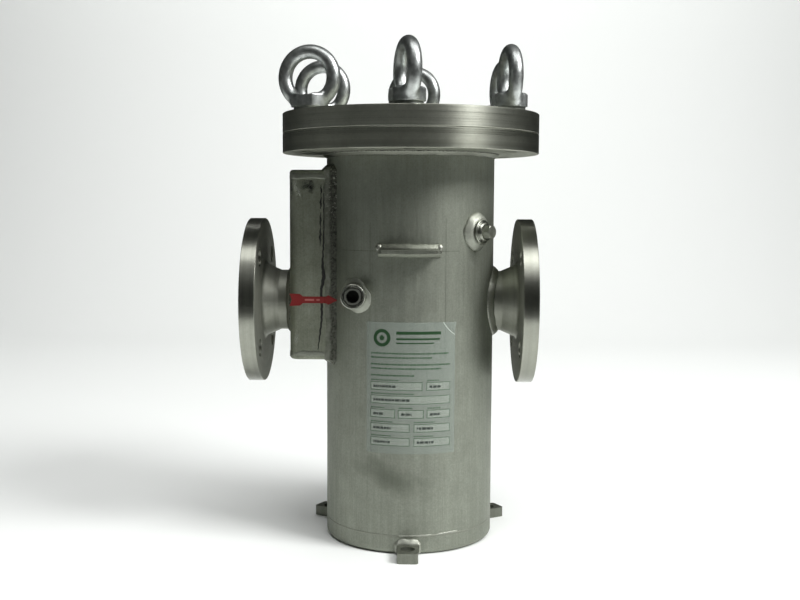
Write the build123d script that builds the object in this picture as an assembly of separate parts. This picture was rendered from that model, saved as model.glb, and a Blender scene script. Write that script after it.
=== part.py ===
from build123d import *
import math
import os

# Basket strainer: a pipe vessel on three feet, with two flanged nozzles on one line,
# a bolted cover turned by eye nuts, and a lift-out perforated basket.
# Millimetres. +Z is up, +X is the outlet side, -Y is the front with the ports.
# The origin is on the vessel axis, in the plane of the feet.

# Vessel shell and base
shell_od = 168.3
shell_wall = 3.0
bottom_plate_t = 18.0
bottom_edge_r = 5.0
nozzle_height = 238.0
slip_fit = 0.15

# Body flange and cover
flange_edge_margin = 18.0
shell_above_chamber = 17.0
body_flange_t = 19.0
shell_stop_short = 4.0
cover_t = 19.5
cover_gap = 0.3
rim_chamfer = 0.5

# Cover gasket in its recess
gasket_past_shell = 3.85
gasket_width = 8.0
gasket_t = 2.0
gasket_side_clearance = 0.4
gasket_crush = 0.1

# Studs, washers and eye nuts
stud_count = 6
stud_first_angle = 28.7
stud_past_gasket = 14.0
stud_r = 8.0
stud_set_in = 1.0
stud_end_chamfer = 1.2
stud_past_nut = 1.5
stud_hole_r = 9.0
nut_running_clearance = 0.05
tapped_clearance = 0.05
washer_r = 15.0
washer_hole_r = 8.5
washer_t = 3.0
eye_height = 59.0
eye_ring_r = 31.0
eye_section_r = 6.75
eye_base_r = 17.5
eye_base_h = 13.0
eye_base_chamfer = 2.0
eye_turns = {1: -75.0, 2: -24.0, 3: -16.0, 4: -14.0, 5: -74.0, 6: -81.0}

# Nozzle flanges, nominal bore 50, rated 16 bar
nozzle_flange_od = 165.0
nozzle_flange_t = 18.0
raised_face_r = 51.0
raised_face_t = 3.0
nozzle_bolt_pcd = 125.0
nozzle_bolt_count = 4
nozzle_bolt_hole_r = 9.0
hub_r = 37.0
hub_root_r = 5.0
hub_taper_length = 16.0
neck_r = 30.15
nozzle_bore_r = 27.25
inlet_stand = 46.5
outlet_stand = 41.85
neck_overrun = 1.0

# Inlet chamber on the side of the shell
chamber_past_shell = 33.85
chamber_width = 84.0
chamber_wall = 4.0
chamber_bend_r = 9.0
chamber_below_nozzle = 56.0
chamber_above_seat = 80.0
chamber_plate_t = 6.0
chamber_edge_r = 3.0
window_side_land = 10.0
window_above_rim = 8.0
window_below_top = 8.0

# Basket seat in the shell
seat_height = 288.0
seat_ring_t = 8.0
seat_ledge = 13.15
seat_gasket_t = 2.0
seat_gasket_margin = 1.0

# Lift-out basket
rim_side_clearance = 3.15
rim_t = 5.0
screen_side_clearance = 3.0
screen_wall = 1.5
screen_bottom = 46.0
floor_t = 2.0
lining_gap = 0.2
lining_wall = 1.0
hole_flat = 9.0
hole_columns = 20
hole_rows = 10
hole_end_margin = 20.0
floor_hole_pitch = 17.0
floor_hole_columns = 7

# Bail handle and its ears
bail_wire_r = 3.0
bail_inset = 1.0
bail_straight = 8.0
bail_pin_bend_r = 6.0
bail_pin_inset = 2.0
bail_rest_gap = 0.3
pivot_clearance = 0.08
ear_t = 4.0
ear_wall = 3.0

# Screwed ports: the lower one faces the front, off the axis; the upper one is radial
port_socket_r = 11.75
port_bore_r = 8.4
lower_port_angle = -90.0
lower_port_from_side = 30.95
lower_port_set_back = 0.15
lower_port_height = 248.0
upper_port_angle = -40.0
upper_port_aside = 0.0
upper_port_stand = 8.45
upper_port_above_seat = 21.0

# Plugs for the ports, the drain and the vent
plug_shank_r = 8.25
plug_shank_length = 7.0
plug_collar_r = 9.8
plug_collar_t = 3.0
plug_collar_clearance = 0.4
plug_collar_chamfer = 0.6
plug_seal_t = 1.5
plug_key_flat = 11.0
plug_key_depth = 8.0
plug_thread_r = 8.0
plug_thread_shown = 3.5
plug_head_flat = 12.0
plug_head_h = 6.5
plug_head_chamfer = 1.0

# Gauge bracket on the front
bracket_width = 58.0
bracket_reach = 16.0
bracket_t = 3.0
bracket_above_seat = 4.5
bracket_corner = 3.0

# Foot lugs
lug_width = 20.0
lug_t = 10.0
lug_past_shell = 27.85
lug_hole_past_shell = 13.85
lug_hole_r = 7.0
lug_corner_r = 3.0
lug_angles = {"front": -90.0, "right": 30.0, "left": 150.0}

cut_overrun = 1.0
same_size = 0.01

shell_r = shell_od / 2
shell_bore_r = shell_r - shell_wall
chamber_bottom = nozzle_height - chamber_below_nozzle
chamber_top = seat_height + chamber_above_seat
chamber_reach = shell_r + chamber_past_shell
window_width = chamber_width - 2 * window_side_land
inlet_face_x = chamber_reach + inlet_stand
outlet_face_x = shell_r + outlet_stand
gasket_r_in = shell_r + gasket_past_shell
stud_circle_r = gasket_r_in + gasket_width + stud_past_gasket
flange_r = stud_circle_r + flange_edge_margin
flange_underside = chamber_top + shell_above_chamber
flange_face = flange_underside + body_flange_t
shell_top = flange_face - shell_stop_short
cover_underside = flange_face + cover_gap
cover_face = cover_underside + cover_t
washer_face = cover_face + washer_t
eye_centre_h = eye_height - eye_ring_r
eye_ring_axis_r = eye_ring_r - eye_section_r
eye_opening_h = eye_centre_h - (eye_ring_axis_r - eye_section_r)
rim_underside = seat_height + seat_gasket_t
rim_face = rim_underside + rim_t
pivot_height = rim_face + bail_rest_gap + bail_wire_r
seat_bore_r = shell_bore_r - seat_ledge
rim_r = shell_bore_r - rim_side_clearance
screen_r = seat_bore_r - screen_side_clearance
bail_reach = screen_r - bail_inset
bail_corner_r = bail_reach - bail_straight
bail_pin_end = rim_r - bail_pin_inset
lower_port_aside = lower_port_from_side - shell_r
lower_port_face = shell_r - lower_port_set_back
upper_port_face = shell_r + upper_port_stand
upper_port_height = seat_height + upper_port_above_seat
bracket_top = seat_height + bracket_above_seat
lug_end_r = shell_r + lug_past_shell
lug_hole_circle_r = shell_r + lug_hole_past_shell

os.makedirs("parts", exist_ok=True)


def disc(radius, low, high):
    """A round bar or plate on the vessel axis between two heights."""
    return Pos(0, 0, low) * extrude(Circle(radius), high - low)


def ring(outer, inner, low, high):
    """A flat ring or tube on the vessel axis between two heights."""
    return Pos(0, 0, low) * extrude(Circle(outer) - Circle(inner), high - low)


def outward(angle, height):
    """A plane on the vessel axis whose Z points radially outwards at an angle."""
    a = math.radians(angle)
    along = (math.cos(a), math.sin(a), 0)
    across = (-math.sin(a), math.cos(a), 0)
    return Plane(origin=(0, 0, height), x_dir=across, z_dir=along)


def radial_rod(radius, start, end, angle, height):
    """A round rod pointing outwards, from one distance off the axis to another."""
    return outward(angle, height) * Pos(0, 0, start) * extrude(Circle(radius), end - start)


def at_lower_port():
    """The outer face of the lower port, Z outwards."""
    plane = outward(lower_port_angle, lower_port_height)
    return plane * Pos(lower_port_aside, 0, lower_port_face)


def at_upper_port():
    """The outer face of the upper port, Z outwards."""
    plane = outward(upper_port_angle, upper_port_height)
    return plane * Pos(upper_port_aside, 0, upper_port_face)


def plug_hole(depth):
    """The tapped hole and counterbore for a flush plug, from zero down."""
    seat = plug_collar_t + plug_seal_t
    hole = Pos(0, 0, -depth) * extrude(Circle(port_bore_r), depth)
    return hole + Pos(0, 0, -seat) * extrude(Circle(plug_collar_r + plug_collar_clearance), seat)


def shell_core():
    """The space inside the outside of the shell, which saddles are cut to."""
    return disc(shell_r, 0, flange_face)


def vessel_shell():
    """The rolled pipe with the inlet window, the outlet hole and both port holes."""
    tube = ring(shell_r, shell_bore_r, bottom_plate_t, shell_top)
    low = rim_face + window_above_rim
    high = chamber_top - chamber_plate_t - window_below_top
    window = Pos(-shell_r, 0, (low + high) / 2) * Box(shell_r, window_width, high - low)
    outlet = radial_rod(nozzle_bore_r, shell_bore_r / 2, shell_od, 0, nozzle_height)
    reach = shell_bore_r / 2
    lower = at_lower_port() * Pos(0, 0, -reach) * extrude(Circle(port_bore_r), reach)
    upper = at_upper_port() * Pos(0, 0, -reach) * extrude(Circle(port_bore_r), reach)
    return tube - window - outlet - lower - upper


def at_drain():
    """The outer face of the drain, Z downwards."""
    return Plane(origin=(0, 0, 0), z_dir=(0, 0, -1))


def bottom_plate():
    """The turned base plate, butt-welded under the shell, with the drain thread."""
    plate = disc(shell_r, 0, bottom_plate_t)
    plate = fillet(plate.edges().sort_by(Axis.Z)[0], bottom_edge_r)
    return plate - at_drain() * plug_hole(bottom_plate_t)


def stud_spots():
    """The stud circle, numbered anticlockwise from the right of the back."""
    return PolarLocations(stud_circle_r, stud_count, start_angle=stud_first_angle)


def body_flange():
    """The slip-on body flange with tapped stud holes and the gasket recess."""
    plate = ring(flange_r, shell_r + slip_fit, flange_underside, flange_face)
    rims = plate.edges().filter_by(GeomType.CIRCLE).sort_by(SortBy.RADIUS)[-2:]
    plate = chamfer(rims, rim_chamfer)
    recess_depth = gasket_t - (cover_gap - gasket_crush)
    plate -= ring(
        gasket_r_in + gasket_width + gasket_side_clearance,
        gasket_r_in - gasket_side_clearance,
        flange_face - recess_depth,
        flange_face,
    )
    for spot in stud_spots():
        plate -= Pos(spot.position) * disc(stud_r + tapped_clearance, flange_underside, flange_face)
    return plate


def cover_gasket():
    """The flat gasket, standing a little proud of the body flange."""
    low = flange_face - (gasket_t - (cover_gap - gasket_crush))
    return ring(gasket_r_in + gasket_width, gasket_r_in, low, low + gasket_t)


def at_vent():
    """The outer face of the vent, in the middle of the cover."""
    return Plane(origin=(0, 0, cover_face))


def cover_plate():
    """The blind cover with clearance holes for the studs and the vent thread."""
    plate = disc(flange_r, cover_underside, cover_face)
    plate = chamfer(plate.edges(), rim_chamfer)
    for spot in stud_spots():
        plate -= Pos(spot.position) * disc(stud_hole_r, cover_underside, cover_face)
    return plate - at_vent() * plug_hole(cover_t)


def cover_studs():
    """The six studs, screwed into the body flange from above."""
    low = flange_underside + stud_set_in
    high = washer_face + eye_opening_h + stud_past_nut
    stud = disc(stud_r, low, high)
    stud = chamfer(stud.edges().filter_by(GeomType.CIRCLE), stud_end_chamfer)
    return Compound(children=[Pos(spot.position) * stud for spot in stud_spots()])


def washer():
    """A plain washer on the cover, drawn on the vessel axis."""
    return ring(washer_r, washer_hole_r, cover_face, washer_face)


def eye_nut(turn):
    """A lifting eye nut: a tapped round base that flows into a round ring."""
    base = disc(eye_base_r, 0, eye_base_h)
    base = chamfer(base.edges().sort_by(Axis.Z)[-1], eye_base_chamfer)
    eye = Pos(0, 0, eye_centre_h) * Rot(90, 0, 0) * Torus(eye_ring_axis_r, eye_section_r)
    opening = Pos(0, 0, eye_centre_h) * Rot(90, 0, 0) * Cylinder(
        eye_ring_axis_r - eye_section_r, 4 * eye_base_r
    )
    nut = (base - opening) + eye
    nut -= disc(eye_ring_r, -eye_section_r, 0)
    nut -= disc(stud_r + nut_running_clearance, 0, eye_centre_h)
    return Pos(0, 0, washer_face) * Rot(0, 0, turn) * nut


def nozzle_flange(tail):
    """A weld-neck flange round Z: its raised face at zero and its neck down to -tail."""
    nozzle_flange_r = nozzle_flange_od / 2
    taper_end = nozzle_flange_t + hub_taper_length
    half = Polyline(
        (nozzle_bore_r, 0),
        (raised_face_r, 0),
        (raised_face_r, -raised_face_t),
        (nozzle_flange_r, -raised_face_t),
        (nozzle_flange_r, -nozzle_flange_t),
        (hub_r, -nozzle_flange_t),
        (neck_r, -taper_end),
        (neck_r, -tail),
        (nozzle_bore_r, -tail),
        close=True,
    )
    body = revolve(Plane.XZ * make_face(half), Axis.Z)
    edges = body.edges().filter_by(GeomType.CIRCLE)
    root = edges.filter_by(lambda e: abs(e.radius - hub_r) < same_size)
    body = fillet(root, hub_root_r)
    edges = body.edges().filter_by(GeomType.CIRCLE)
    rims = edges.filter_by(lambda e: abs(e.radius - nozzle_flange_r) < same_size)
    body = chamfer(rims, rim_chamfer)
    step = nozzle_bolt_pcd / 2
    first = 180 / nozzle_bolt_count
    for spot in PolarLocations(step, nozzle_bolt_count, start_angle=first):
        body -= Pos(spot.position) * disc(nozzle_bolt_hole_r, -nozzle_flange_t, 0)
    return body


def inlet_flange():
    """The inlet flange, its neck butted on the chamber's flat side."""
    return outward(180, nozzle_height) * Pos(0, 0, inlet_face_x) * nozzle_flange(
        inlet_face_x - chamber_reach
    )


def outlet_flange():
    """The outlet flange, its neck cut to a saddle on the shell."""
    saddle = math.sqrt(shell_r ** 2 - neck_r ** 2) - neck_overrun
    body = outward(0, nozzle_height) * Pos(0, 0, outlet_face_x) * nozzle_flange(
        outlet_face_x - saddle
    )
    return body - shell_core()


def chamber_outline(inset, bend):
    """The chamber's plan, rounded at the bends and cut to the shell."""
    width = chamber_width - 2 * inset
    reach = chamber_reach - inset
    plan = Pos(-reach / 2, 0) * Rectangle(reach, width)
    corners = plan.vertices().sort_by(Axis.X)[:2]
    return fillet(corners, bend)


def chamber_wall_plate():
    """The bent plate round the chamber, bored for the inlet."""
    plan = chamber_outline(0, chamber_bend_r)
    plan -= chamber_outline(chamber_wall, chamber_bend_r - chamber_wall)
    low = chamber_bottom + chamber_plate_t
    high = chamber_top - chamber_plate_t
    wall = Pos(0, 0, low) * extrude(plan - Circle(shell_r), high - low)
    return wall - radial_rod(
        nozzle_bore_r, shell_r, chamber_reach + cut_overrun, 180, nozzle_height
    )


def chamber_end_plate(low, outer_side):
    """The chamber's top or bottom plate, eased on its outer edge."""
    plate = Pos(0, 0, low) * extrude(chamber_outline(0, chamber_bend_r), chamber_plate_t)
    face = plate.faces().sort_by(Axis.Z)[outer_side]
    edges = face.edges().filter_by(lambda e: e.center().X < -chamber_width / 2 - cut_overrun)
    plate = fillet(edges, chamber_edge_r)
    return plate - shell_core()


def basket_seat_ring():
    """The ring welded inside the shell that the basket hangs in."""
    return ring(shell_bore_r - slip_fit, seat_bore_r, seat_height - seat_ring_t, seat_height)


def seat_gasket():
    """The flat ring between the seat and the basket rim."""
    return ring(
        rim_r - seat_gasket_margin,
        seat_bore_r + seat_gasket_margin,
        seat_height,
        rim_underside,
    )


def basket_rim():
    """The basket's turned rim, with the screen let into its bore."""
    return ring(rim_r, screen_r, rim_underside, rim_face)


def hexagon(flat):
    """A hexagonal outline given by its width across flats."""
    return RegularPolygon(flat / 2, 6, major_radius=False)


def basket_screen():
    """The rolled perforated sheet, with staggered rows of hexagonal holes."""
    tube = ring(screen_r, screen_r - screen_wall, screen_bottom, rim_face)
    low = screen_bottom + hole_end_margin
    high = rim_underside - hole_end_margin
    pitch = (high - low) / (hole_rows - 1)
    punch = Pos(0, 0, screen_r / 2) * extrude(hexagon(hole_flat), screen_r)
    punches = []
    for row in range(hole_rows):
        for column in range(hole_columns):
            angle = (column + 0.5 * (row % 2)) * 360 / hole_columns
            punches.append(outward(angle, low + row * pitch) * punch)
    return tube - punches


def basket_lining():
    """The wire-cloth lining, drawn as one thin tube inside the screen."""
    outer = screen_r - screen_wall - lining_gap
    return ring(outer, outer - lining_wall, screen_bottom, rim_face)


def basket_floor():
    """The basket's perforated floor under the screen and the lining."""
    plate = disc(screen_r, screen_bottom - floor_t, screen_bottom)
    reach = screen_r - screen_wall - floor_hole_pitch / 2
    punch = Pos(0, 0, screen_bottom - 2 * floor_t) * extrude(hexagon(hole_flat), 3 * floor_t)
    spots = HexLocations(floor_hole_pitch / 2, floor_hole_columns, floor_hole_columns, major_radius=False)
    holes = [spot * punch for spot in spots if spot.position.length < reach]
    return plate - holes


def basket_ears():
    """Two ears on the rim, drilled for the ends of the bail."""
    hole_r = bail_wire_r + pivot_clearance
    top_r = hole_r + ear_wall
    rise = pivot_height - rim_face
    plan = Circle(top_r) + Pos(0, -rise / 2) * Rectangle(2 * top_r, rise)
    plan -= Pos(0, -rise - top_r / 2) * Rectangle(2 * top_r, top_r)
    plan -= Circle(hole_r)
    plate = extrude(plan, ear_t / 2, both=True)
    mid = bail_reach + bail_pin_bend_r + ear_t / 2 + bail_rest_gap
    ears = []
    for side in (-1, 1):
        ears.append(Pos(0, side * mid, pivot_height) * Rot(90, 0, 0) * plate)
    return Compound(children=ears)


def basket_bail():
    """The bent wire handle, lying on the rim with its ends in the ears."""
    path = FilletPolyline(
        (0, bail_pin_end, pivot_height),
        (0, bail_reach, pivot_height),
        (-bail_reach, bail_reach, pivot_height),
        (-bail_reach, -bail_reach, pivot_height),
        (0, -bail_reach, pivot_height),
        (0, -bail_pin_end, pivot_height),
        radius=[bail_pin_bend_r, bail_corner_r, bail_corner_r, bail_pin_bend_r],
    )
    section = Plane(origin=path @ 0, z_dir=path % 0) * Circle(bail_wire_r)
    return sweep(section, path)


def port_socket():
    """A round tapped socket with its face at zero, long enough to cut to the shell."""
    length = shell_bore_r / 2
    blank = Pos(0, 0, -length) * extrude(Circle(port_socket_r), length)
    blank = chamfer(blank.edges().sort_by(Axis.Z)[-1], plug_collar_chamfer)
    return blank - plug_hole(length)


def plug_seal():
    """The soft ring under a plug's collar."""
    low = -plug_collar_t - plug_seal_t
    return Pos(0, 0, low) * extrude(Circle(plug_collar_r) - Circle(port_bore_r), plug_seal_t)


def plug_blank():
    """A collared screw plug with its outer face at zero."""
    collar = Pos(0, 0, -plug_collar_t) * extrude(Circle(plug_collar_r), plug_collar_t)
    collar = chamfer(collar.edges().sort_by(Axis.Z)[-1], plug_collar_chamfer)
    length = plug_seal_t + plug_shank_length
    return collar + Pos(0, 0, -plug_collar_t - length) * extrude(Circle(plug_shank_r), length)


def key_plug():
    """A plug with a hexagon socket."""
    return plug_blank() - Pos(0, 0, -plug_key_depth) * extrude(hexagon(plug_key_flat), plug_key_depth)


def head_plug():
    """A plug whose thread stands out of the socket, with a hexagon head on its end."""
    reach = plug_thread_shown + plug_head_h
    head = extrude(hexagon(plug_head_flat), reach)
    turned = extrude(Circle(plug_head_flat / 2 + plug_head_chamfer), reach)
    turned = chamfer(turned.edges().sort_by(Axis.Z)[-1], plug_head_chamfer)
    return plug_blank() + (head & turned) + extrude(Circle(plug_thread_r), plug_thread_shown)


def gauge_bracket():
    """The short flat bar across the front, with its outer corners cut."""
    reach = shell_r + bracket_reach
    plan = Pos(0, -reach / 2) * Rectangle(bracket_width, reach)
    corners = plan.vertices().sort_by(Axis.Y)[:2]
    plan = chamfer(corners, bracket_corner)
    bar = Pos(0, 0, bracket_top - bracket_t) * extrude(plan, bracket_t)
    return bar - shell_core()


def foot_lug(angle):
    """A drilled foot lug, saddled on the side of the base plate."""
    plan = Pos(lug_end_r / 2, 0) * Rectangle(lug_end_r, lug_width)
    plan = fillet(plan.vertices().sort_by(Axis.X)[-2:], lug_corner_r)
    plan -= Pos(lug_hole_circle_r, 0) * Circle(lug_hole_r)
    return Rot(0, 0, angle) * (extrude(plan, lug_t) - shell_core())


def write(node, shape):
    """Write one node's solids to its STEP file."""
    export_step(shape, f"parts/{node}.step")


# Vessel
write("vessel_shell", vessel_shell())
write("bottom_plate", bottom_plate())
write("body_flange", body_flange())
write("cover_gasket", cover_gasket())
write("cover_studs", cover_studs())
write("inlet_flange", inlet_flange())
write("outlet_flange", outlet_flange())
write("chamber_wall", chamber_wall_plate())
write("chamber_top_plate", chamber_end_plate(chamber_top - chamber_plate_t, -1))
write("chamber_bottom_plate", chamber_end_plate(chamber_bottom, 0))
write("basket_seat_ring", basket_seat_ring())
write("seat_gasket", seat_gasket())
write("gauge_bracket", gauge_bracket())
for side, angle in lug_angles.items():
    write(f"foot_lug_{side}", foot_lug(angle))

# Ports, drain and vent
write("lower_port_socket", at_lower_port() * port_socket() - shell_core())
write("lower_port_seal", at_lower_port() * plug_seal())
write("lower_port_plug", at_lower_port() * key_plug())
write("upper_port_socket", at_upper_port() * port_socket() - shell_core())
write("upper_port_seal", at_upper_port() * plug_seal())
write("upper_port_plug", at_upper_port() * head_plug())
write("drain_seal", at_drain() * plug_seal())
write("drain_plug", at_drain() * key_plug())

# Cover
write("cover_plate", cover_plate())
write("vent_seal", at_vent() * plug_seal())
write("vent_plug", at_vent() * key_plug())
for number, spot in enumerate(stud_spots(), start=1):
    write(f"washer_{number}", Pos(spot.position) * washer())
    write(f"eye_nut_{number}", Pos(spot.position) * eye_nut(eye_turns[number]))

# Basket
write("basket_rim", basket_rim())
write("basket_screen", basket_screen())
write("basket_lining", basket_lining())
write("basket_floor", basket_floor())
write("basket_ears", basket_ears())
write("basket_bail", basket_bail())
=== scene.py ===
import math

import bpy
import numpy as np
from mathutils import Matrix, Vector


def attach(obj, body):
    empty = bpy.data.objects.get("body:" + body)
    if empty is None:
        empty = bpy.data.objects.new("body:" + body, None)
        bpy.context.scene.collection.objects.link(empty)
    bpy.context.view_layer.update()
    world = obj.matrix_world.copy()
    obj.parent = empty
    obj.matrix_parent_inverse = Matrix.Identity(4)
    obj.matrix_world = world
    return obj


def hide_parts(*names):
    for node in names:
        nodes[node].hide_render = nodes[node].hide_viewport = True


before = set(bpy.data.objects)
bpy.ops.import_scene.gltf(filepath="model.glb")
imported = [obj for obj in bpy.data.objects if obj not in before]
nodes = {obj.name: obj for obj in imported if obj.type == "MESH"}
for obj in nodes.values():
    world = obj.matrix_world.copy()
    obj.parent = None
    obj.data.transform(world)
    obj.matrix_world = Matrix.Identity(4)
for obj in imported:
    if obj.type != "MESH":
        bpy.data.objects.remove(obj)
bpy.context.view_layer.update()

# Camera
# It stands a little over a metre in front, slightly right of the axis, and looks
# down by five degrees. The focal length is for a sensor 36 mm wide.
camera = bpy.data.objects.new("camera", bpy.data.cameras.new("camera"))
bpy.context.scene.collection.objects.link(camera)
camera.data.sensor_width = 36
camera.data.lens = 47.804
camera.data.clip_start = 0.05
camera.data.clip_end = 20
camera.matrix_world = (
    Matrix.Translation((0.00788, -1.07797, 0.33295))
    @ Matrix.Rotation(math.radians(0.9493), 4, "Z")
    @ Matrix.Rotation(math.radians(90 - 5.0397), 4, "X")
    @ Matrix.Rotation(math.radians(0.2767), 4, "Z")
)
bpy.context.scene.camera = camera
bpy.context.scene.view_settings.view_transform = "Standard"


# Floor and backdrop
# One pale sheet of matt paper that runs level under the object and curves up behind it.
# It is in three pieces, because the metal mirrors only the floor near it.
def linear(code):
    """sRGB hex to linear RGBA: c / 12.92 below 0.04045, else ((c + 0.055) / 1.055) ^ 2.4."""
    srgb = [int(code[i : i + 2], 16) / 255 for i in (1, 3, 5)]
    return [c / 12.92 if c <= 0.04045 else ((c + 0.055) / 1.055) ** 2.4 for c in srgb] + [1]


def add(tree, kind, inputs=(), **settings):
    """Adds a shader node with its settings. Its inputs, in order or by number or name, are
    constants or sockets; a node given as an input stands for its first output in use."""
    node = tree.nodes.new("ShaderNode" + kind)
    for key, value in settings.items():
        setattr(node, key, value)
    for key, value in inputs.items() if isinstance(inputs, dict) else enumerate(inputs):
        if isinstance(value, bpy.types.Node):
            value = next(socket for socket in value.outputs if socket.enabled)
        if isinstance(value, bpy.types.NodeSocket):
            tree.links.new(value, node.inputs[key])
        else:
            node.inputs[key].default_value = value
    return node


def new_material(name):
    """An empty node material and its tree."""
    material = bpy.data.materials.new(name)
    material.use_nodes = True
    material.node_tree.nodes.clear()
    return material, material.node_tree


def surface(tree, inputs):
    """Ends a material's tree in a Principled surface with these inputs."""
    add(tree, "OutputMaterial", [add(tree, "BsdfPrincipled", inputs)])


def grid_faces(rows, columns, round_rows=False, round_columns=False):
    """Quads (r, c), (r, c + 1), (r + 1, c + 1), (r + 1, c) of a grid of points numbered row
    by row. A round direction closes on its first row or column."""
    number = np.arange(rows * columns).reshape(rows, columns)
    number = np.pad(number, ((0, int(round_rows)), (0, int(round_columns))), mode="wrap")
    corners = (number[:-1, :-1], number[:-1, 1:], number[1:, 1:], number[1:, :-1])
    return np.stack(corners, -1).reshape(-1, 4)


def mesh_object(name, points_mm, faces, materials, sharp_angle=40):
    """A smooth-shaded mesh from points in millimetres and faces that look outwards."""
    points = (np.asarray(points_mm, float) * 0.001).tolist()
    mesh = bpy.data.meshes.new(name)
    mesh.from_pydata(points, [], [tuple(int(k) for k in face) for face in faces])
    mesh.shade_smooth()
    mesh.set_sharp_from_angle(angle=math.radians(sharp_angle))
    for material in materials:
        mesh.materials.append(material)
    made = bpy.data.objects.new(name, mesh)
    bpy.context.scene.collection.objects.link(made)
    return made


paper, tree = new_material("pale matt backdrop paper")
surface(tree, {"Base Color": linear("#eceeec"), "Roughness": 0.85})

paper_half, front_edge, mirror_edge, back_edge = 1800, -1800, -620, 700
sweep_start, sweep_radius, paper_top = 1500, 900, 4000
sweep_turn = np.linspace(0, math.pi / 2, 17)
sweep_y = sweep_start + sweep_radius * np.sin(sweep_turn)
sweep_z = sweep_radius - sweep_radius * np.cos(sweep_turn)
backdrop_y = [back_edge, *sweep_y, sweep_start + sweep_radius]
paper_pieces = []
for name, ys, zs in (
    ("floor", [mirror_edge, back_edge], [0, 0]),
    ("front_floor", [front_edge, mirror_edge], [0, 0]),
    ("backdrop", backdrop_y, [0, *sweep_z, paper_top]),
):
    points = [(x, y, z) for y, z in zip(ys, zs) for x in (-paper_half, paper_half)]
    paper_pieces.append(mesh_object(name, points, grid_faces(len(ys), 2), [paper]))
floor, front_floor, backdrop = paper_pieces
front_floor.visible_glossy = False
backdrop.visible_glossy = False


# Light
# One lamp high on the right, which the cover's edge keeps off the top of the shell, with
# weaker ones for the room. Far off the room is dark, but the camera sees it as pale as paper.
def soft_light(name, place, aim, width, height, watts, mirrored=True):
    """An area light at a place, in metres, aimed at a point, seen in bright metal or not."""
    light = bpy.data.lights.new(name, "AREA")
    light.shape = "RECTANGLE"
    light.size = width
    light.size_y = height
    light.energy = watts
    lamp = bpy.data.objects.new(name, light)
    bpy.context.scene.collection.objects.link(lamp)
    lamp.location = place
    lamp.rotation_euler = (Vector(aim) - Vector(place)).to_track_quat("-Z", "Y").to_euler()
    lamp.visible_glossy = mirrored


soft_light("lamp", (1.38, -0.78, 1.68), (0, 0, 0.3), 0.75, 0.75, 46)
soft_light("ceiling", (0.0, -0.75, 2.3), (0, 0, 0.3), 1.6, 0.8, 13)
soft_light("overhead", (0, -0.2, 2.2), (0, 0, 0), 2.2, 1.8, 30, mirrored=False)
soft_light("backdrop_light", (0, 1.2, 1.9), (0, 2.3, 0.9), 2.5, 0.5, 18)

room = bpy.data.worlds.new("dim room")
bpy.context.scene.world = room
room.use_nodes = True
tree = room.node_tree
tree.nodes.clear()
dim = add(tree, "Background", [linear("#c4cac4"), 0.052])
pale = add(tree, "Background", [linear("#eceeec"), 1.0])
seen = add(tree, "LightPath").outputs["Is Camera Ray"]
add(tree, "OutputWorld", [add(tree, "MixShader", [seen, dim, pale])])


# Steels of the vessel
# Every steel is bare metal. Its marks run up and down a rolled sheet, or round the axis
# of a turned piece; stains lie over them in soft patches.
def round_marks(tree, axis, centre=(0, 0, 0)):
    """Tool marks round an axis: their coordinates (distance from it, distance along it, 0),
    on which noise draws rings, and their direction, the axis x the place."""
    along = tuple(float(name == axis) for name in "XYZ")
    place = add(tree, "TexCoord").outputs["Object"]
    local = add(tree, "VectorMath", [place, centre], operation="SUBTRACT")
    turned = add(tree, "VectorMath", [along, local], operation="CROSS_PRODUCT")
    radius = add(tree, "VectorMath", [turned], operation="LENGTH")
    marks = add(tree, "CombineXYZ", [radius, add(tree, "SeparateXYZ", [local]).outputs[axis]])
    return marks, add(tree, "VectorTransform", [turned], convert_from="OBJECT", convert_to="WORLD")


def cloudy(tree, size_mm, detail=4, rough=0.55, where=None):
    """Noise from 0 to 1 with features about size_mm wide, on the piece's own coordinates."""
    where = where or add(tree, "TexCoord").outputs["Object"]
    inputs = {"Vector": where, "Scale": 1000 / size_mm, "Detail": detail, "Roughness": rough}
    return add(tree, "TexNoise", inputs)


def toned(tree, value, low, high, first, second, least=0, most=1):
    """A colour that goes from first to second as a value goes from low to high; least and
    most are the shares of second that it has there."""
    share = add(tree, "MapRange", [value, low, high, least, most])
    return add(tree, "Mix", {0: share, 6: first, 7: second}, data_type="RGBA")


def bare_metal(tree, tone, rough, height, relief_mm, drawn=None):
    """Ends a tree in bare metal whose skin rises and sinks with height, by relief_mm at
    most. drawn holds the inputs of a surface that reflects in streaks."""
    bump = {"Height": height, "Strength": 1.0, "Distance": relief_mm / 1000}
    skin_deep = {"Roughness": rough, "Normal": add(tree, "Bump", bump), **(drawn or {})}
    surface(tree, {"Base Color": tone, "Metallic": 1.0, **skin_deep})


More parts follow.
